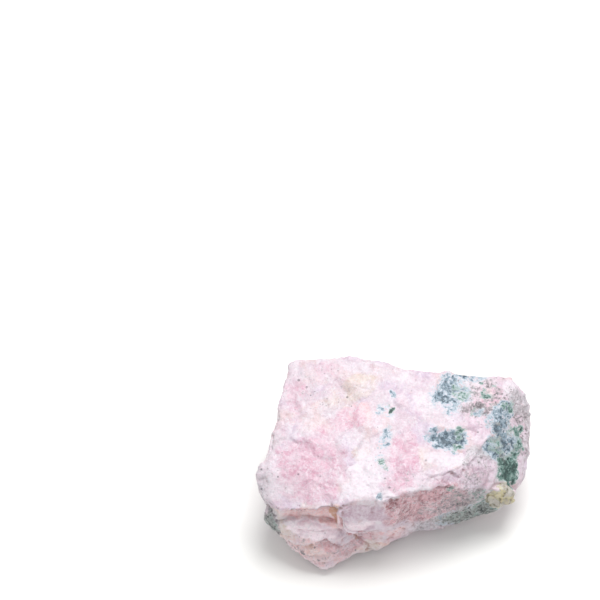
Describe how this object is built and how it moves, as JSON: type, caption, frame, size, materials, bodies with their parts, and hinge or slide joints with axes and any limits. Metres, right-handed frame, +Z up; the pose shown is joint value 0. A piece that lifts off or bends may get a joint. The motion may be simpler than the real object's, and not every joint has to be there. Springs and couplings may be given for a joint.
{
  "type": "rhodochrosite specimen",
  "caption": "Rough-broken pink rock with green grains, a ridged front, a proud plate, a stepped lobe and a flat face to rest on.",
  "frame": {"origin": "middle of the stone's outline seen from above, on the surface it rests on", "axes": "+X along the stone towards its green end, -Y towards its front face with the plate, +Z up"},
  "size_m": [0.0546, 0.0376, 0.0235],
  "materials": {
    "rock": "rough granular break, pale pink with white, beige and green grains"
  },
  "bodies": {
    "root": {"stone": "rock"}
  },
  "joints": []
}
